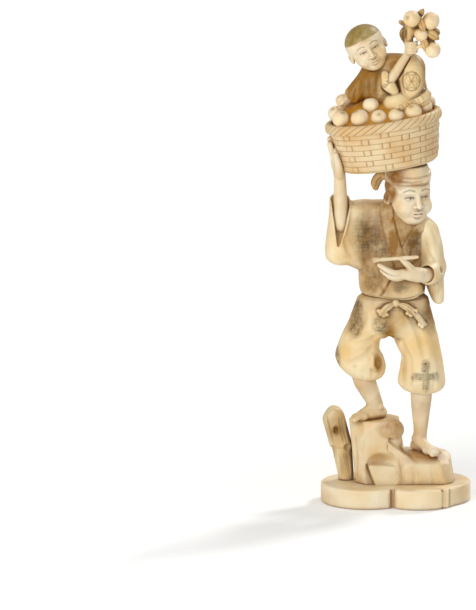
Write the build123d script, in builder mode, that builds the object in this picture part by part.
"""Carved okimono in sections: a fruit seller on a rock, a basket on the head, a child in the basket.

Millimetres, +Z up, origin under the middle of the plinth. The figure faces -Y, so its right side is at -X.
Every section is pegged or tenoned to the next, and each piece is placed from the piece that carries it.
"""

import os
from math import cos, pi, radians, sin, tan

from build123d import *

os.makedirs("parts", exist_ok=True)

# Plinth
plinth_width = 75.0
plinth_depth = 50.0
plinth_height = 10.0
plinth_edge = 0.8
left_lobe_radius = 23.0
front_lobe_radius = 20.0
right_lobe_radius = 21.0
back_lobe_radius = 18.0
lobe_rib_radius = 2.2

# Rock and stump
high_rock_height = 32.0
low_rock_height = 15.0
stump_height = 38.0
stump_width = 12.0
stump_depth = 8.5
stump_lean = 6.0
stump_inset = 11.9

# Legs and feet
foot_length = 20.0
foot_height = 3.4
heel_radius = 3.2
ball_radius = 4.2
ankle_height = 7.0
ankle_width = 7.2
calf_width = 10.6
leg_height = 79.0

# Clothes
left_trouser_length = 47.0
right_trouser_length = 41.0
trouser_hem_width = 15.0
trouser_fullness = 24.4
waist_width = 33.2
hip_width = 43.6
hip_depth = 25.6
hip_drop = 10.0
seat_drop = 19.4
leg_spacing = 20.0
sash_height = 3.8
sash_thickness = 0.8
sash_flare = 2.6
bow_length = 10.5
bow_width = 3.8
bow_thickness = 2.4
jacket_height = 48.0
jacket_width = 34.0
jacket_depth = 25.2
shoulder_width = 39.0
collar_width = 6.0
collar_thickness = 3.4
flap_width = 21.0
flap_height = 12.0
right_sleeve_seat = 16.5
left_sleeve_seat = 14.5
sleeve_depth = 19.0
right_sleeve_drop = 32.0
right_sleeve_width = 14.4
mouth_height = 24.0
mouth_width = 9.6
left_sleeve_drop = 44.0
left_sleeve_width = 13.5
cuff_width = 11.0
cuff_drop = 14.0
cuff_length = 5.0

# Arms, hands and pipe
forearm_width = 6.6
hand_width = 8.6
hand_thickness = 4.2
palm_length = 8.0
finger_length = 8.0
finger_radius = 1.15
left_finger_length = 12.0
wrist_length = 8.0
pipe_radius = 0.9
pipe_length = 23.0
pipe_end_radius = 1.4
pipe_overhang = 3.7

# Head
neck_radius = 4.2
head_width = 23.5
head_depth = 25.0
head_height = 29.0
head_turn = 25.0
nose_length = 6.0
nose_width = 4.4
scarf_height = 7.0
scarf_thickness = 0.7
knot_length = 8.0
knot_width = 5.0

# Basket and its fruit
basket_width = 47.0
basket_depth = 33.0
basket_flare = 4.0
basket_height = 21.5
basket_tilt = 8.5
basket_corner = 3.0
basket_overhang = 9.0
rim_height = 4.5
rim_overhang = 2.0
rim_width = 4.0
recess_depth = 7.0
heap_height = 7.5
fruit_radius = 4.4

# Child
child_seat_width = 25.0
child_seat_depth = 17.0
child_seat_sink = 4.0
child_hem_flare = 0.8
child_hem_gap = 0.4
child_height = 28.0
child_head_width = 20.5
child_head_height = 22.6
child_head_lean = 27.0
child_neck_radius = 2.4
child_arm_tenon_radius = 1.5
child_sleeve_width = 12.0
child_cuff_width = 8.0
child_robe_width = 36.0
child_robe_depth = 19.6
child_pouch_width = 13.0
child_pouch_thickness = 7.6
child_pouch_drop = 18.0
child_lap_height = 12.0
child_lap_depth = 10.0
child_forearm_width = 4.4
child_forearm_length = 20.8
child_fist_radius = 3.2

# Fruit branch
branch_length = 15.0
branch_grip = 2.0
branch_radius = 1.6
twig_radius = 0.8
branch_fruit_radius = 4.4
leaf_width = 3.5
leaf_thickness = 0.9

# Pegs and fits
base_peg_radius = 1.5
base_peg_length = 10.0
foot_peg_radius = 1.0
foot_peg_length = 8.0
waist_dowel_radius = 3.0
waist_dowel_length = 20.0
sleeve_peg_radius = 1.6
sleeve_peg_length = 10.0
basket_dowel_radius = 2.0
basket_dowel_length = 10.0
child_dowel_radius = 1.6
child_dowel_length = 9.0
limb_tenon_radius = 3.0
tenon_length = 7.0
child_tenon_length = 4.0
peg_clearance = 0.05
socket_end_gap = 0.2
seat_gap = 0.1

# Points round a lofted section, and the directions that many sections share
section_points = 12
up = Vector(0, 0, 1)
viewer_left = Vector(-1, 0, 0)

# Heights, each from the piece below
plinth_top = plinth_height
low_ledge = plinth_top + low_rock_height
high_ledge = plinth_top + high_rock_height
waist_z = low_ledge + leg_height
left_hem = waist_z - left_trouser_length
right_hem = waist_z - right_trouser_length
collar_z = waist_z + jacket_height

# Middle lines of the figure
waist = Vector(-1.5, 0, waist_z)
right_ankle = Vector(-10.0, 1.0, high_ledge + ankle_height)
left_ankle = Vector(12.0, 1.0, low_ledge + ankle_height)
right_knee = Vector(-16.0, -2.0, right_hem)
left_knee = Vector(12.8, -1.0, left_hem)
right_toe_direction = Vector(-15.0, -10.0, 0).normalized()
left_toe_direction = Vector(11.0, -15.0, 0).normalized()
neck = Vector(4.5, 1.0, collar_z)
neck_seat = Plane(neck, z_dir=(0.15, -0.65, 1.0))
jaw = neck + Vector(1.5, -4.0, -8.5)
crown = jaw + Vector(0, 1.0, head_height)
facing = Vector(sin(radians(head_turn)), -cos(radians(head_turn)), 0)
right_elbow = Vector(-right_sleeve_seat - 11.5, -2.0, collar_z - 17.0)
left_cuff = Vector(left_sleeve_seat + 0.5, -10.5, waist_z + 15.5)
cuff_direction = Vector(-11.5, -16.0, 4.0).normalized()

# The basket stands on the crown, its base tilted up towards +X and reaching out over the raised arm
basket_base = crown + Vector(-basket_overhang, 2.0, -basket_overhang * tan(radians(basket_tilt)))
basket_plane = Plane(basket_base).rotated((0, -basket_tilt, 0))
basket_axis = Axis(basket_plane.origin, basket_plane.z_dir)
head_seat = Plane(crown, x_dir=basket_plane.x_dir, z_dir=basket_plane.z_dir)
rim_top = basket_height + rim_height
rim_x = basket_width / 2 + basket_flare + rim_overhang
rim_y = basket_depth / 2 + basket_flare + rim_overhang


def on_basket(x, y, z):
    """Point in the part's frame from one measured along the basket's own tilted axes."""
    return basket_plane.from_local_coords(Vector(x, y, z))


# The child sits in a pocket of the fruit, right of the basket's middle
child_seat = Plane(
    on_basket(6.7, 3.0, rim_top - child_seat_sink),
    x_dir=basket_plane.x_dir,
    z_dir=basket_plane.z_dir,
)
seat_point = child_seat.origin
child_neck = seat_point + Vector(-9.0, -2.5, child_height + 1.0)
child_neck_seat = Plane(child_neck, z_dir=(-4.0, -6.0, 9.0))
child_jaw = child_neck + Vector(-1.2, -3.0, -0.4)
child_tilt = radians(child_head_lean)
child_crown = child_jaw + Vector(-sin(child_tilt), 0, cos(child_tilt)) * child_head_height
child_facing = Vector(0.15, -1.0, 0).normalized()
child_right_shoulder = seat_point + Vector(-10.0, -1.0, child_height * 0.84)
child_right_cuff = seat_point + Vector(-24.4, -4.4, child_height * 0.44)
child_reach = (child_right_cuff - child_right_shoulder).normalized()
child_left_shoulder = seat_point + Vector(7.0, -1.0, child_height * 0.9)
child_left_elbow = seat_point + Vector(-2.0, -12.5, child_height * 0.68)
raised_way = Vector(8.6, 4.0, 18.5).normalized()
fist = child_left_elbow + raised_way * child_forearm_length
child_right_seat = Plane(child_right_cuff, z_dir=child_reach)
child_left_seat = Plane(child_left_elbow, z_dir=raised_way)

# The child's robe flares a little above the seat
child_hem_width = child_seat_width + 2 * child_hem_flare
child_hem_depth = child_seat_depth + 2 * child_hem_flare

# The branch is socketed in the child's raised fist
branch_way = Vector(-0.2, 0.05, 1.0).normalized()
branch_foot = fist - branch_way * branch_grip
branch_plane = Plane(branch_foot, z_dir=branch_way)


def square_to(centre, direction):
    """Plane at centre whose normal is direction and whose X lies level."""
    level = Vector(0, 1, 0) if abs(direction.normalized().X) > 0.9 else Vector(1, 0, 0)
    return Plane(centre, x_dir=level, z_dir=direction)


def oval(plane, width, depth):
    """Face bounded by an ellipse whose seam always lies on the plane's X axis, so that lofts don't twist."""
    angles = [2 * pi * step / section_points for step in range(section_points)]
    with BuildSketch(plane) as section:
        with BuildLine():
            Spline(*[(width / 2 * cos(a), depth / 2 * sin(a)) for a in angles], periodic=True)
        make_face()
    return section.sketch


def limb(*stations, mode=Mode.ADD):
    """Join a form lofted through ellipses; a station is (centre, direction, width, depth)."""
    sections = []
    for centre, direction, width, depth in stations:
        sections.append(oval(square_to(centre, direction), width, depth))
    loft(sections, mode=mode)


def boulder(*levels):
    """Join a faceted rock lofted through polygons; a level is (height, corners)."""
    sections = []
    for height, corners in levels:
        with BuildSketch(Plane.XY.offset(height)) as section:
            Polygon(*corners, align=None)
        sections.append(section.sketch)
    loft(sections, ruled=True)


def foot(ankle, toe_direction, ledge):
    """Join a bare foot standing flat on a ledge, heel under the ankle."""
    heel = ankle - toe_direction * heel_radius * 0.5
    ball = heel + toe_direction * (foot_length - heel_radius - ball_radius)
    with BuildSketch(Plane.XY.offset(ledge)) as sole:
        with Locations((heel.X, heel.Y)):
            Circle(heel_radius)
        with Locations((ball.X, ball.Y)):
            Circle(ball_radius)
        make_hull()
    extrude(sole.sketch, amount=foot_height, taper=18)
    under_ankle = Vector(ankle.X, ankle.Y, ledge + ankle_height * 0.5)
    instep = Vector(ankle.X, ankle.Y, ledge + foot_height * 0.5) + toe_direction * ball_radius
    limb(
        (instep + toe_direction * ball_radius, toe_direction, ball_radius * 1.4, foot_height),
        (instep, toe_direction, ball_radius * 1.5, foot_height * 1.6),
        (under_ankle, toe_direction, ankle_width * 0.8, ankle_height * 0.9),
    )


def shin(ankle, knee, ledge):
    """Join a bare shin from the foot up to the trouser hem, with its round tenon above the hem."""
    calf = ankle + (knee - ankle) * 0.6
    limb(
        (Vector(ankle.X, ankle.Y, ledge + foot_height * 0.3), up, ankle_width, ankle_width * 1.1),
        (ankle, up, ankle_width, ankle_width),
        (calf, up, calf_width * 0.88, calf_width * 0.92),
        (knee, up, calf_width, calf_width * 0.95),
    )
    with Locations(knee):
        Cylinder(limb_tenon_radius, tenon_length, align=on_its_foot)


def socket(seat, radius, depth, upward=False):
    """Bore a round socket from a seat plane into the part in hand."""
    end = Align.MIN if upward else Align.MAX
    with Locations(seat):
        Cylinder(
            radius + peg_clearance,
            depth + socket_end_gap,
            align=(Align.CENTER, Align.CENTER, end),
            mode=Mode.SUBTRACT,
        )


def tenon(seat, radius, length):
    """Join a round tenon below a seat plane."""
    with Locations(seat):
        Cylinder(radius, length, align=(Align.CENTER, Align.CENTER, Align.MAX))


def finish(builder, label):
    """Label a finished piece and write it."""
    builder.part.label = label
    export_step(builder.part, f"parts/{label}.step")


# Plinth: a lobed slab, the lobes meeting in grooves
left_lobe = (left_lobe_radius - plinth_width / 2, -0.5)
front_lobe = (11.5, front_lobe_radius - plinth_depth / 2)
right_lobe = (plinth_width / 2 - right_lobe_radius, 3.0)
back_lobe = (2.0, plinth_depth / 2 - back_lobe_radius)
lobe_rib = (right_lobe[0] + right_lobe_radius * 0.42, right_lobe[1] - right_lobe_radius * 0.99)
lobes = [
    (left_lobe, left_lobe_radius),
    (front_lobe, front_lobe_radius),
    (right_lobe, right_lobe_radius),
    (back_lobe, back_lobe_radius),
    (lobe_rib, lobe_rib_radius),
]
stump_foot = Vector(stump_inset - plinth_width / 2, 3.0, plinth_top)
base_seats = [Plane((-9.0, 0, plinth_top)), Plane((14.0, 0, plinth_top)), Plane(stump_foot)]

on_its_foot = (Align.CENTER, Align.CENTER, Align.MIN)

with BuildPart() as plinth:
    for (x, y), radius in lobes:
        with Locations((x, y, 0)):
            Cylinder(radius, plinth_height - plinth_edge, align=on_its_foot)
        with Locations((x, y, plinth_height - plinth_edge)):
            Cone(radius, radius - plinth_edge, plinth_edge, align=on_its_foot)
    for seat in base_seats:
        socket(seat, base_peg_radius, base_peg_length / 2)
finish(plinth, "plinth")

with BuildPart() as base_pegs:
    with Locations(*base_seats):
        Cylinder(base_peg_radius, base_peg_length)
finish(base_pegs, "base_pegs")

# Rock: a tall boulder and a low ledge in one block
high_rock_foot = [(-19, -5), (-12, -10), (-2, -11), (4, -8), (6, 6), (0, 14), (-12, 14), (-18, 8)]
high_rock_waist = [(-20, -6), (-13, -9), (-4, -10), (3, -8), (4, 5), (-1, 12), (-12, 12), (-19, 7)]
high_rock_top = [(-23.5, -6), (-15, -10), (-5, -9), (1, -6), (3, 2), (-2, 9), (-12, 10), (-21, 4)]
low_rock_foot = [(-2, -11), (9, -10), (19, -10), (28, -6), (29, 4), (24, 13), (10, 15), (-2, 13)]
low_rock_top = [(-2, -8), (8, -11), (18, -15), (27, -12), (28, -2), (24, 8), (10, 11), (-2, 10)]
foot_seats = [
    Plane((right_ankle.X, right_ankle.Y, high_ledge)),
    Plane((left_ankle.X, left_ankle.Y, low_ledge)),
]

with BuildPart() as rockwork:
    boulder(
        (plinth_top, high_rock_foot),
        (plinth_top + high_rock_height * 0.55, high_rock_waist),
        (high_ledge, high_rock_top),
    )
    boulder((plinth_top, low_rock_foot), (low_ledge, low_rock_top))
    for seat in base_seats[:2]:
        socket(seat, base_peg_radius, base_peg_length / 2, upward=True)
    for seat in foot_seats:
        socket(seat, foot_peg_radius, foot_peg_length / 2)
finish(rockwork, "rockwork")

# Stump: a leaning stake, narrow at its foot and cut back at its top
stump_rise = Vector(-stump_lean, -1.0, stump_height)

with BuildPart() as tree_stump:
    limb(
        (stump_foot, up, stump_width * 0.6, stump_depth * 0.75),
        (stump_foot + stump_rise * 0.45, up, stump_width * 0.88, stump_depth),
        (stump_foot + stump_rise * 0.8, up, stump_width * 0.96, stump_depth),
        (stump_foot + stump_rise, up, stump_width * 0.7, stump_depth * 0.7),
    )
    socket(base_seats[2], base_peg_radius, base_peg_length / 2, upward=True)
finish(tree_stump, "tree_stump")

# Bare legs, pegged to the rock and tenoned into the trouser hems
with BuildPart() as right_leg:
    shin(right_ankle, right_knee, high_ledge)
    foot(right_ankle, right_toe_direction, high_ledge)
    split(bisect_by=Plane.XY.offset(high_ledge), keep=Keep.TOP)
    socket(foot_seats[0], foot_peg_radius, foot_peg_length / 2, upward=True)
finish(right_leg, "right_leg")

with BuildPart() as left_leg:
    shin(left_ankle, left_knee, low_ledge)
    foot(left_ankle, left_toe_direction, low_ledge)
    split(bisect_by=Plane.XY.offset(low_ledge), keep=Keep.TOP)
    socket(foot_seats[1], foot_peg_radius, foot_peg_length / 2, upward=True)
finish(left_leg, "left_leg")

with BuildPart() as foot_pegs:
    with Locations(*foot_seats):
        Cylinder(foot_peg_radius, foot_peg_length)
finish(foot_pegs, "foot_pegs")


# Trousers: two full legs gathered at the knee, joined at the hips under a sash with its bow
def trouser_leg(knee, side, levels):
    """Join one full trouser leg; a level is (share of the leg's height, shift to +X, width, depth)."""
    hip = waist + Vector(side * leg_spacing / 2, 0, -hip_drop)
    stations = [(knee, up, trouser_hem_width, trouser_hem_width * 0.95)]
    for share, shift, width, depth in levels:
        centre = knee + (hip - knee) * share + Vector(shift, 0, 0)
        stations.append((centre, up, trouser_fullness * width, trouser_fullness * depth))
    limb(*stations)


def bow_tail(way):
    """Join one flat tail of the sash's bow, falling away from the knot."""
    tail = way.normalized() * bow_length
    limb(
        (bow_knot, way, bow_width * 0.7, bow_thickness),
        (bow_knot + tail * 0.55, way, bow_width, bow_thickness),
        (bow_knot + tail, way, bow_width * 0.8, bow_thickness * 0.7),
    )


right_leg_levels = [
    (0.1, 0.3, 0.86, 0.76),
    (0.2, -1.5, 0.98, 0.82),
    (0.36, -3.8, 1.0, 0.87),
    (0.5, -5.0, 0.9, 0.88),
    (0.64, -4.6, 0.84, 0.88),
    (0.82, -2.4, 0.88, 0.9),
    (1.0, 0.0, 0.7, 0.8),
]
left_leg_levels = [
    (0.05, 0.6, 0.88, 0.74),
    (0.12, 0.4, 1.0, 0.82),
    (0.28, 1.5, 0.92, 0.84),
    (0.46, 2.4, 0.83, 0.84),
    (0.62, 1.0, 0.9, 0.87),
    (0.77, 0.4, 0.93, 0.88),
    (1.0, 0.0, 0.7, 0.8),
]
waist_seat = Plane(waist)
sash_width = waist_width + 2 * sash_thickness
sash_depth = hip_depth + 2 * sash_thickness
bow_knot = waist + Vector(1.3, -sash_depth / 2, -sash_height * 0.4)

with BuildPart() as trousers:
    trouser_leg(right_knee, -1, right_leg_levels)
    trouser_leg(left_knee, 1, left_leg_levels)
    limb(
        (waist + Vector(-1.3, 0, -seat_drop), up, hip_width * 0.92, hip_depth * 0.83),
        (waist + Vector(-0.9, -0.4, -hip_drop * 1.4), up, hip_width, hip_depth * 0.97),
        (waist + Vector(-0.7, -0.3, -hip_drop * 0.9), up, hip_width * 0.945, hip_depth),
        (waist, up, waist_width, hip_depth * 0.95),
    )
    limb(
        (waist - up * sash_height, up, sash_width + sash_flare, sash_depth),
        (waist, up, sash_width, sash_depth),
    )
    with Locations(bow_knot):
        Sphere(bow_width * 0.55)
    bow_tail(Vector(-9.0, 0.5, -5.0))
    bow_tail(Vector(10.0, 1.6, -6.2))
    bow_tail(Vector(-3.8, 0, -8.0))
    split(bisect_by=waist_seat, keep=Keep.BOTTOM)
    socket(Plane(right_knee), limb_tenon_radius, tenon_length, upward=True)
    socket(Plane(left_knee), limb_tenon_radius, tenon_length, upward=True)
    socket(waist_seat, waist_dowel_radius, waist_dowel_length / 2)
finish(trousers, "trousers")

with BuildPart() as waist_dowel:
    with Locations(waist_seat):
        Cylinder(waist_dowel_radius, waist_dowel_length)
finish(waist_dowel, "waist_dowel")

# Jacket: the trunk, flat where the sleeves are pegged on
right_sleeve_plane = Plane((-right_sleeve_seat, 1.0, collar_z - 16.0), x_dir=(0, 1, 0), z_dir=(-1, 0, 0))
left_sleeve_plane = Plane((left_sleeve_seat, 1.0, collar_z - 20.0), x_dir=(0, 1, 0), z_dir=(1, 0, 0))

shoulder_tilt = Vector(0.16, 0, 1)
shoulder_middle = waist + Vector(-1.5, 1.3, jacket_height * 0.99)

# Collar bands cross on the chest, the figure's left one under the right, and the flap hangs below them
right_collar = [(-4.2, -7.6, -6.0), (-2.6, -10.8, -14.0), (0.4, -11.4, -23.0), (2.8, -11.6, -31.0)]
left_collar = [(12.0, -6.6, -10.5), (8.6, -9.8, -16.0), (4.6, -11.0, -22.6), (1.6, -11.4, -28.0)]


def collar(places):
    """Join a flat collar band through places measured from the middle of the collar."""
    points = [Vector(x, y, collar_z + z) for x, y, z in places]
    stations = []
    for before, point, after in zip(points[:1] + points, points, points[1:] + points[-1:]):
        stations.append((point, after - before, collar_width, collar_thickness))
    limb(*stations)


with BuildPart() as jacket:
    limb(
        (waist, up, jacket_width * 0.98, jacket_depth * 1.02),
        (waist + Vector(-0.3, 0, jacket_height * 0.2), up, jacket_width, jacket_depth),
        (waist + Vector(0, 0.4, jacket_height * 0.5), up, jacket_width * 1.05, jacket_depth * 0.98),
        (waist + Vector(0, 1.0, jacket_height * 0.77), up, shoulder_width * 0.98, jacket_depth * 0.9),
        (waist + Vector(-1.0, 1.2, jacket_height * 0.92), up, shoulder_width, jacket_depth * 0.8),
        (shoulder_middle, shoulder_tilt, shoulder_width * 0.94, jacket_depth * 0.64),
    )
    collar(right_collar)
    collar(left_collar)
    limb(
        (waist + Vector(3.7, -8.8, 0.6), up, flap_width * 0.62, jacket_depth * 0.36),
        (waist + Vector(3.7, -9.4, flap_height * 0.55), up, flap_width, jacket_depth * 0.42),
        (waist + Vector(3.7, -9.0, flap_height), up, flap_width * 0.7, jacket_depth * 0.28),
    )
    split(bisect_by=right_sleeve_plane, keep=Keep.BOTTOM)
    split(bisect_by=left_sleeve_plane, keep=Keep.BOTTOM)
    split(bisect_by=neck_seat, keep=Keep.BOTTOM)
    socket(waist_seat, waist_dowel_radius, waist_dowel_length / 2, upward=True)
    socket(neck_seat, neck_radius, tenon_length)
    socket(right_sleeve_plane, sleeve_peg_radius, sleeve_peg_length / 2)
    socket(left_sleeve_plane, sleeve_peg_radius, sleeve_peg_length / 2)
finish(jacket, "jacket")

with BuildPart() as sleeve_pegs:
    with Locations(right_sleeve_plane, left_sleeve_plane):
        Cylinder(sleeve_peg_radius, sleeve_peg_length)
finish(sleeve_pegs, "sleeve_pegs")

# Right sleeve: slipped down the raised arm, a hanging pouch whose mouth is a long open V round the forearm
forearm_seat = Plane(right_elbow)
forearm_lean = Vector(0.4, 0, 0)
sleeve_top = Vector(-right_sleeve_seat - 2.3, -0.3, collar_z)
pouch_top = Vector(right_elbow.X, right_elbow.Y + 0.7, collar_z + 4.0)
mouth_top = Vector(right_elbow.X - 0.2, right_elbow.Y - 1.5, collar_z + 4.5)
mouth_foot = Vector(right_elbow.X - 1.2, -sleeve_depth / 2 - 1.5, mouth_top.Z - mouth_height)
mouth_way = mouth_foot - mouth_top


def sleeve_station(top, share, shift, width, depth):
    """One ellipse across the hanging sleeve, at a share of its drop below a top."""
    centre = top + Vector(shift, 0, -right_sleeve_drop * share)
    return (centre, up, right_sleeve_width * width, sleeve_depth * depth)


with BuildPart() as right_sleeve:
    limb(
        sleeve_station(sleeve_top, 1.0, -0.4, 0.66, 0.8),
        sleeve_station(sleeve_top, 0.84, -1.2, 0.9, 1.0),
        sleeve_station(sleeve_top, 0.5, -0.8, 1.0, 1.02),
        sleeve_station(sleeve_top, 0.0, 0.0, 0.86, 0.9),
    )
    limb(
        sleeve_station(pouch_top, 1.08, 0.2, 0.62, 0.56),
        sleeve_station(pouch_top, 0.97, -0.2, 0.98, 0.84),
        sleeve_station(pouch_top, 0.75, -0.2, 1.0, 0.95),
        sleeve_station(pouch_top, 0.38, 0.2, 0.86, 0.94),
        sleeve_station(pouch_top, 0.0, 0.0, 0.68, 0.8),
    )
    split(bisect_by=right_sleeve_plane, keep=Keep.TOP)
    limb(
        (mouth_top, up, mouth_width, sleeve_depth * 0.68),
        (mouth_top + mouth_way * 0.4, up, mouth_width * 0.78, sleeve_depth * 0.6),
        (mouth_top + mouth_way * 0.75, up, mouth_width * 0.46, sleeve_depth * 0.4),
        (mouth_foot, up, mouth_width * 0.14, sleeve_depth * 0.16),
        mode=Mode.SUBTRACT,
    )
    with Locations(right_elbow):
        Cone(
            forearm_width / 2 + seat_gap,
            mouth_width * 0.46,
            mouth_height,
            align=on_its_foot,
            mode=Mode.SUBTRACT,
        )
    add(jacket.part, mode=Mode.SUBTRACT)
    socket(forearm_seat, limb_tenon_radius, tenon_length)
    socket(right_sleeve_plane, sleeve_peg_radius, sleeve_peg_length / 2, upward=True)
finish(right_sleeve, "right_sleeve")

# Left sleeve: hangs from the shoulder, with a cuff turned forwards round the forearm
left_shoulder = Vector(left_sleeve_seat + 3.5, 1.0, collar_z - 9.0)
sleeve_fall = Vector(0, 0, -left_sleeve_drop)
sleeve_line = left_shoulder + Vector(1.8, -2.2, 0)
cuff_seat = Plane(left_cuff, z_dir=cuff_direction)

with BuildPart() as left_sleeve:
    limb(
        (left_shoulder + Vector(-2.0, 0.5, 3.0), up, left_sleeve_width * 0.45, sleeve_depth * 0.4),
        (left_shoulder, up, left_sleeve_width * 0.8, sleeve_depth * 0.75),
        (sleeve_line + sleeve_fall * 0.3, up, left_sleeve_width * 0.92, sleeve_depth * 0.9),
        (sleeve_line + sleeve_fall * 0.6, up, left_sleeve_width, sleeve_depth),
        (sleeve_line + sleeve_fall * 0.82, up, left_sleeve_width * 0.74, sleeve_depth * 0.8),
        (sleeve_line + sleeve_fall, up, left_sleeve_width * 0.37, sleeve_depth * 0.45),
    )
    split(bisect_by=left_sleeve_plane, keep=Keep.TOP)
    limb(
        (left_cuff - cuff_direction * cuff_length, cuff_direction, cuff_width * 1.2, cuff_drop * 1.07),
        (left_cuff, cuff_direction, cuff_width, cuff_drop),
    )
    add(jacket.part, mode=Mode.SUBTRACT)
    add(trousers.part, mode=Mode.SUBTRACT)
    socket(cuff_seat, limb_tenon_radius, tenon_length)
    socket(left_sleeve_plane, sleeve_peg_radius, sleeve_peg_length / 2, upward=True)
finish(left_sleeve, "left_sleeve")


# Basket: a flared oval with a rounded foot, a thick rim and a shallow recess for the fruit
def basket_form(gap=0.0, mode=Mode.ADD):
    """Join the basket's outer form, grown by a gap, to the part in hand, or cut it away."""
    foot_oval = oval(basket_plane, basket_width + 2 * gap, basket_depth + 2 * gap)
    spread = 2 * basket_flare + 2 * gap
    lip_oval = oval(basket_plane.offset(basket_height), basket_width + spread, basket_depth + spread)
    loft([foot_oval, lip_oval], mode=mode)


# Fruit on the heap: places along the basket's axes, heights above the rim, sizes against fruit_radius
fruit_places = [
    (-20.5, -9.5, 3.0, 1.0),
    (-11.1, -13.0, 2.6, 1.06),
    (-1.7, -14.0, 1.6, 0.95),
    (6.9, -14.0, 1.0, 0.95),
    (15.6, -11.6, 1.6, 1.0),
    (21.0, -4.2, 2.4, 1.0),
    (-4.9, -9.0, 7.6, 0.94),
    (-23.0, 0.0, 4.2, 0.9),
    (-18.0, 8.0, 3.4, 1.0),
    (-9.0, 13.0, 2.6, 1.0),
    (1.0, 14.4, 2.0, 0.95),
    (10.5, 13.0, 2.4, 1.0),
    (23.0, 7.0, 1.6, 0.9),
]
fruit_balls = [(on_basket(x, y, rim_top + z), fruit_radius * size) for x, y, z, size in fruit_places]


def fruit_pockets():
    """Cut a pocket for each ball of fruit out of the part in hand."""
    for centre, radius in fruit_balls:
        with Locations(centre):
            Sphere(radius + peg_clearance, mode=Mode.SUBTRACT)


with BuildPart() as basket:
    basket_form()
    fillet(basket.faces().sort_by(basket_axis)[0].edges(), basket_corner)
    with BuildSketch(basket_plane.offset(basket_height)):
        Ellipse(rim_x, rim_y)
    extrude(amount=rim_height)
    with BuildSketch(basket_plane.offset(rim_top)):
        Ellipse(rim_x - rim_width, rim_y - rim_width)
    extrude(amount=-recess_depth, mode=Mode.SUBTRACT)
    fruit_pockets()
    socket(head_seat, basket_dowel_radius, basket_dowel_length / 2, upward=True)
    socket(child_seat, child_dowel_radius, child_dowel_length / 2)
finish(basket, "basket")

with BuildPart() as basket_dowel:
    with Locations(head_seat):
        Cylinder(basket_dowel_radius, basket_dowel_length)
finish(basket_dowel, "basket_dowel")

# Head: full at the jaw, bound with a scarf and cut flat under the basket
head_axis = crown - jaw


def head_station(share, width, depth, forward=0.0):
    """One ellipse across the head at a share of its height, set forward by a share of its depth."""
    centre = jaw + head_axis * share + facing * head_depth * forward
    return (centre, head_axis, head_width * width, head_depth * depth)


def scarf_station(share):
    """One ellipse round the scarf, a cloth's thickness outside the head."""
    spread = 2 * scarf_thickness
    return (jaw + head_axis * share, head_axis, head_width + spread, head_depth + spread)


scarf_share = scarf_height / head_height
nose = jaw + head_axis * 0.4 + facing * head_depth * 0.45
nose_bridge = nose + up * nose_length * 0.75 - facing * nose_width * 0.2
nose_foot = nose - up * nose_length * 0.25 - facing * nose_width * 0.15

with BuildPart() as head:
    limb(
        head_station(0.0, 0.36, 0.26, 0.32),
        head_station(0.1, 0.6, 0.52, 0.2),
        head_station(0.28, 0.8, 0.8, 0.09),
        head_station(0.5, 0.94, 0.97, 0.01),
        head_station(0.75, 1.0, 1.0),
        head_station(1.1, 0.94, 0.94),
    )
    limb(scarf_station(1.05 - scarf_share), scarf_station(1.05))
    limb(
        (neck - neck_seat.z_dir, neck_seat.z_dir, 2.4 * neck_radius, 2.4 * neck_radius),
        (jaw + head_axis * 0.5, head_axis, 2.8 * neck_radius, 2.8 * neck_radius),
    )
    limb(
        (nose_bridge, up, nose_width * 0.55, nose_width * 0.55),
        (nose, up, nose_width, nose_width * 0.9),
        (nose_foot, up, nose_width * 0.7, nose_width * 0.55),
    )
    split(bisect_by=head_seat, keep=Keep.BOTTOM)
    split(bisect_by=neck_seat, keep=Keep.TOP)
    tenon(neck_seat, neck_radius, tenon_length)
    socket(head_seat, basket_dowel_radius, basket_dowel_length / 2)
finish(head, "head")

# Scarf knot: the tied end, glued to the side of the head and hanging
knot_root = jaw + head_axis * 0.78 + Vector(-head_width / 2, 2.0, 0)
knot_bend = knot_root + Vector(-knot_length * 0.5, 1.2, -knot_length * 0.3)
knot_tip = knot_root + Vector(-knot_length * 0.6, 1.6, -knot_length * 0.75)

with BuildPart() as scarf_knot:
    limb(
        (knot_root + Vector(knot_width * 0.4, 0, 0), viewer_left, knot_width * 0.8, knot_width * 0.9),
        (knot_root + Vector(-knot_length * 0.2, 0.6, 0), Vector(-1, 0, -0.2), knot_width * 0.9, knot_width),
        (knot_bend, Vector(-1, 0, -1.6), knot_width * 0.8, knot_width * 0.7),
        (knot_tip, Vector(-0.2, 0, -1), knot_width * 0.5, knot_width * 0.3),
    )
    add(head.part, mode=Mode.SUBTRACT)
finish(scarf_knot, "scarf_knot")

# Right forearm: raised straight, then the hand spread up the basket's side
basket_side = basket_width / 2 + hand_thickness * 0.3
right_wrist = right_elbow + forearm_lean + up * (basket_base.Z - right_elbow.Z - forearm_width)
palm = on_basket(-basket_side, -2.0, palm_length * 0.3)
knuckles = on_basket(-basket_side - basket_flare * 0.4, -1.5, palm_length * 1.1)
fingertips = on_basket(-basket_side - basket_flare * 0.7, -1.0, palm_length * 1.1 + finger_length)
finger_way = fingertips - knuckles

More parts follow.
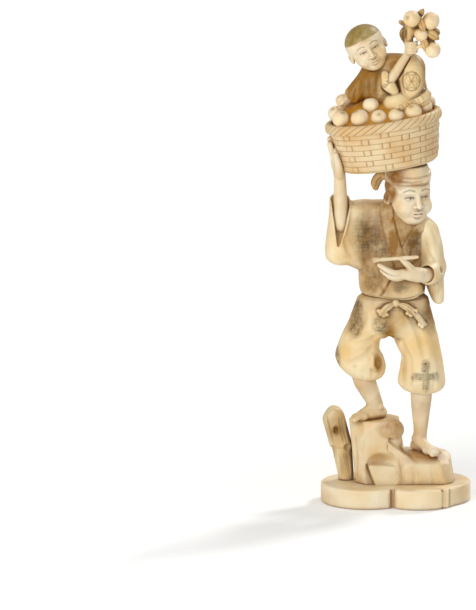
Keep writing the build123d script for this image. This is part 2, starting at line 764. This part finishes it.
with BuildPart() as right_forearm:
    limb(
        (right_elbow, up, forearm_width, forearm_width),
        (right_elbow + (right_wrist - right_elbow) * 0.5, up, forearm_width, forearm_width),
        (right_wrist, up, forearm_width * 0.86, forearm_width * 0.9),
    )
    limb(
        (right_wrist - up * forearm_width * 0.2, up, forearm_width * 0.84, forearm_width * 0.88),
        (palm, palm - right_wrist, hand_thickness, hand_width),
        (knuckles, finger_way, hand_thickness * 0.8, hand_width),
    )
    for place in (-1.5, -0.5, 0.5, 1.5):
        root = knuckles + Vector(0, place * hand_width / 4, 0) - finger_way * 0.1
        tip = root + finger_way * (1.1 - abs(place) * 0.12)
        limb(
            (root, finger_way, 2 * finger_radius, hand_width / 4),
            (tip, finger_way, 1.6 * finger_radius, 1.6 * finger_radius),
        )
    tenon(forearm_seat, limb_tenon_radius, tenon_length)
    basket_form(seat_gap, mode=Mode.SUBTRACT)
finish(right_forearm, "right_forearm")

# Left hand: forearm out of the cuff, fingers forward under the pipe, thumb over it
left_wrist = left_cuff + cuff_direction * wrist_length
left_palm = left_wrist + Vector(-5.0, -3.0, 1.0)
left_knuckles = left_palm + Vector(-3.6, -0.6, 0.5)
left_tips = left_palm + Vector(-left_finger_length, -1.2, 1.6)
thumb_root = left_palm + Vector(1.0, 0.5, 1.0)
thumb_tip = left_palm + Vector(-2.0, -1.5, 6.6)
thumb_way = (thumb_tip - thumb_root).normalized()
pipe_direction = Vector(1.0, 0, 0.07).normalized()
pipe_seat = Plane(thumb_tip - pipe_direction * pipe_overhang, z_dir=pipe_direction)

with BuildPart() as left_hand:
    limb(
        (left_cuff, cuff_direction, forearm_width, forearm_width),
        (left_wrist, cuff_direction, forearm_width * 0.85, forearm_width * 0.8),
        (left_palm, Vector(-1, -0.35, 0.15), hand_thickness, hand_width * 0.85),
        (left_knuckles, Vector(-1, -0.1, 0.25), hand_thickness * 0.85, hand_width * 0.8),
    )
    for place in (-1.0, 0.0, 1.0):
        root = left_knuckles + Vector(1.0, 0, place * 2 * finger_radius)
        tip = left_tips + Vector(abs(place) * 2.0, 0, place * 1.5 * finger_radius)
        limb(
            (root, tip - root, 2 * finger_radius, 2 * finger_radius),
            (tip, tip - root, 1.5 * finger_radius, 1.5 * finger_radius),
        )
    limb(
        (thumb_root, thumb_way, 3.2 * finger_radius, 3.0 * finger_radius),
        (thumb_tip - thumb_way * 2 * finger_radius, thumb_way, 2.8 * finger_radius, 2.8 * finger_radius),
        (thumb_tip + thumb_way * 2 * finger_radius, thumb_way, 2.2 * finger_radius, 2.2 * finger_radius),
    )
    tenon(cuff_seat, limb_tenon_radius, tenon_length)
    with Locations(pipe_seat):
        Cylinder(pipe_radius + peg_clearance, pipe_length, mode=Mode.SUBTRACT)
finish(left_hand, "left_hand")

with BuildPart() as pipe:
    with Locations(pipe_seat):
        Cylinder(pipe_radius, pipe_length)
    with Locations(pipe_seat.offset(-pipe_length / 2)):
        Cone(pipe_end_radius, pipe_radius, pipe_length * 0.1, align=on_its_foot)
finish(pipe, "pipe")

# Fruit heap: a domed bed that plugs the basket's recess, with pockets for the balls and the child
heap_width = 2 * (rim_x - rim_width - seat_gap)
heap_depth = 2 * (rim_y - rim_width - seat_gap)
heap_levels = [(0.0, 1.0, 1.0), (0.55, 0.84, 0.78), (1.0, 0.5, 0.42)]

with BuildPart() as fruit_heap:
    dome = []
    for rise, width, depth in heap_levels:
        level = basket_plane.offset(rim_top + heap_height * rise)
        dome.append(oval(level, heap_width * width, heap_depth * depth))
    loft(dome)
    extrude(dome[0], amount=-recess_depth)
    with BuildSketch(child_seat):
        Ellipse(child_hem_width / 2 + child_hem_gap, child_hem_depth / 2 + child_hem_gap)
    extrude(amount=child_seat_sink + heap_height, mode=Mode.SUBTRACT)
    fruit_pockets()
    socket(child_seat, child_dowel_radius, child_dowel_length / 2)
finish(fruit_heap, "fruit_heap")

with BuildPart() as basket_fruit:
    for centre, radius in fruit_balls:
        with Locations(centre):
            Sphere(radius)
finish(basket_fruit, "basket_fruit")

with BuildPart() as child_dowel:
    with Locations(child_seat):
        Cylinder(child_dowel_radius, child_dowel_length)
finish(child_dowel, "child_dowel")

# Child's head: round, leaning over the right shoulder
child_axis = child_crown - child_jaw


def child_station(share, width, depth, forward=0.0):
    """One ellipse across the child's head at a share of its height, set forward by a share of its width."""
    centre = child_jaw + child_axis * share + child_facing * child_head_width * forward
    return (centre, child_axis, child_head_width * width, child_head_width * depth)


with BuildPart() as child_head:
    limb(
        child_station(0.0, 0.36, 0.3, 0.22),
        child_station(0.16, 0.74, 0.7, 0.1),
        child_station(0.45, 0.98, 0.98, 0.02),
        child_station(0.7, 1.0, 1.04, -0.01),
        child_station(0.88, 0.82, 0.86),
        child_station(1.0, 0.4, 0.42),
    )
    limb(
        (child_neck, child_neck_seat.z_dir, 2.6 * child_neck_radius, 2.6 * child_neck_radius),
        (child_jaw + child_axis * 0.4, child_axis, 2.6 * child_neck_radius, 2.6 * child_neck_radius),
    )
    split(bisect_by=child_neck_seat, keep=Keep.TOP)
    tenon(child_neck_seat, child_neck_radius, child_tenon_length)
finish(child_head, "child_head")

# Child: kneels in the heap, one hand on the rim, the other arm raised with its sleeve hanging as a pouch
upper_way = child_left_elbow - child_left_shoulder
sleeve_end = child_right_cuff - child_reach * child_cuff_width * 0.4
sleeve_end_width = child_cuff_width * 1.2
pouch_middle = seat_point + Vector(6.8, -9.6, child_height * 0.84)
child_knee = seat_point + Vector(-2.6, -11.4, child_height * 0.42)
child_hip = seat_point + Vector(12.0, -6.4, child_height * 0.46)
lap = child_hip - child_knee


def robe_station(shift, share, size):
    """One ellipse round the child's robe at a share of the child's height."""
    centre = seat_point + Vector(shift, -0.8, child_height * share)
    return (centre, up, child_robe_width * size, child_robe_depth * size)


def pouch_station(x, y, share, size):
    """One ellipse across the hanging sleeve at a share of its drop."""
    centre = pouch_middle + Vector(x, y, child_pouch_drop * share)
    return (centre, up, child_pouch_width * size, child_pouch_thickness * size)


with BuildPart() as child_body:
    limb(
        (seat_point, basket_plane.z_dir, child_seat_width, child_seat_depth),
        (seat_point + Vector(-0.6, -0.4, child_height * 0.3), up, child_hem_width, child_hem_depth),
        robe_station(-2.9, 0.58, 1.0),
        robe_station(-3.4, 0.83, 0.93),
        robe_station(-4.4, 1.0, 0.8),
        robe_station(-2.4, 1.17, 0.5),
    )
    limb(
        (child_right_shoulder, child_reach, child_sleeve_width, child_sleeve_width * 0.92),
        (sleeve_end, child_reach, sleeve_end_width, sleeve_end_width),
        (child_right_cuff, child_reach, child_cuff_width, child_cuff_width * 0.92),
    )
    limb(
        (child_left_shoulder, upper_way, child_sleeve_width, child_sleeve_width),
        (child_left_shoulder + upper_way * 0.6, upper_way, child_sleeve_width, child_sleeve_width),
        (child_left_elbow, upper_way, child_cuff_width, child_cuff_width),
    )
    limb(
        pouch_station(-3.2, 1.8, 0.5, 0.6),
        pouch_station(-0.2, 0.4, 0.2, 1.0),
        pouch_station(0.2, -0.4, -0.2, 1.0),
        pouch_station(-0.8, -2.0, -0.5, 0.45),
    )
    limb(
        (child_knee - lap * 0.3, lap, child_lap_depth * 0.3, child_lap_height * 0.3),
        (child_knee, lap, child_lap_depth * 0.8, child_lap_height * 0.75),
        (child_knee + lap * 0.5, lap, child_lap_depth, child_lap_height),
        (child_hip, lap, child_lap_depth, child_lap_height),
    )
    with Locations(child_left_seat):
        Cylinder(
            child_forearm_width / 2 + seat_gap,
            child_forearm_length,
            align=on_its_foot,
            mode=Mode.SUBTRACT,
        )
    add(child_head.part, mode=Mode.SUBTRACT)
    add(fruit_heap.part, mode=Mode.SUBTRACT)
    socket(child_seat, child_dowel_radius, child_dowel_length / 2, upward=True)
    socket(child_neck_seat, child_neck_radius, child_tenon_length)
    socket(child_right_seat, child_arm_tenon_radius, child_tenon_length)
    socket(child_left_seat, child_arm_tenon_radius, child_tenon_length)
    fruit_pockets()
finish(child_body, "child_body")

child_fist_width = 2 * child_fist_radius
child_grip = child_right_cuff + child_reach * child_fist_radius
child_knuckles = child_right_cuff + child_reach * child_fist_width * 1.1

with BuildPart() as child_right_hand:
    limb(
        (child_right_cuff, child_reach, child_forearm_width, child_forearm_width),
        (child_grip, child_reach, child_fist_width, child_fist_width),
        (child_knuckles, child_reach, child_fist_width * 0.5, child_fist_width * 0.5),
    )
    tenon(child_right_seat, child_arm_tenon_radius, child_tenon_length)
    fruit_pockets()
finish(child_right_hand, "child_right_hand")

# Raised arm: a thin forearm whose fist closes round the branch
child_wrist = fist - raised_way * child_fist_radius

with BuildPart() as child_left_arm:
    limb(
        (child_left_elbow, raised_way, child_forearm_width, child_forearm_width),
        (child_wrist, raised_way, child_forearm_width * 0.85, child_forearm_width * 0.85),
    )
    limb(
        (child_wrist - raised_way, raised_way, child_fist_width * 0.55, child_fist_width * 0.55),
        (fist, raised_way, child_fist_width, child_fist_width),
        (fist + raised_way * child_fist_radius, raised_way, child_fist_width * 0.7, child_fist_width * 0.7),
    )
    tenon(child_left_seat, child_arm_tenon_radius, child_tenon_length)
    with Locations(branch_plane):
        Cylinder(
            branch_radius + peg_clearance,
            branch_length,
            align=on_its_foot,
            mode=Mode.SUBTRACT,
        )
finish(child_left_arm, "child_left_arm")

# Branch: one stem through the fist, twigs to the fruit, and leaves; places are from the stem's top
branch_top = branch_foot + branch_way * branch_length
branch_fruit_places = [
    (3.0, -4.1, 3.5, 0.95),
    (12.5, -0.5, 1.7, 1.02),
    (13.5, -2.5, -12.7, 0.91),
    (7.8, -1.5, -5.1, 0.8),
]
branch_balls = []
for x, y, z, size in branch_fruit_places:
    branch_balls.append((branch_top + Vector(x, y, z), branch_fruit_radius * size))
twig_shares = [0.95, 0.95, 0.72, 0.82]
leaf_tips = [Vector(9.0, 0, 7.8), Vector(-3.2, 0.6, 0.8), Vector(16.0, 0.4, -6.1)]

with BuildPart() as fruit_branch:
    with Locations(branch_plane):
        Cylinder(branch_radius, branch_length, align=on_its_foot)
    for (centre, radius), share in zip(branch_balls, twig_shares):
        root = branch_foot + branch_way * branch_length * share
        twig = centre - root
        with Locations(Plane(root, z_dir=twig)):
            Cylinder(twig_radius, twig.length - radius * 0.5, align=on_its_foot)
    for reach in leaf_tips:
        root = branch_top - branch_way * branch_radius
        leaf = branch_top + reach - root
        limb(
            (root, leaf, 2 * twig_radius, 2 * twig_radius),
            (root + leaf * 0.6, leaf, leaf_width, leaf_thickness),
            (root + leaf, leaf, leaf_width * 0.3, leaf_thickness * 0.6),
        )
finish(fruit_branch, "fruit_branch")

with BuildPart() as branch_fruit:
    for centre, radius in branch_balls:
        with Locations(centre):
            Sphere(radius)
    add(fruit_branch.part, mode=Mode.SUBTRACT)
finish(branch_fruit, "branch_fruit")
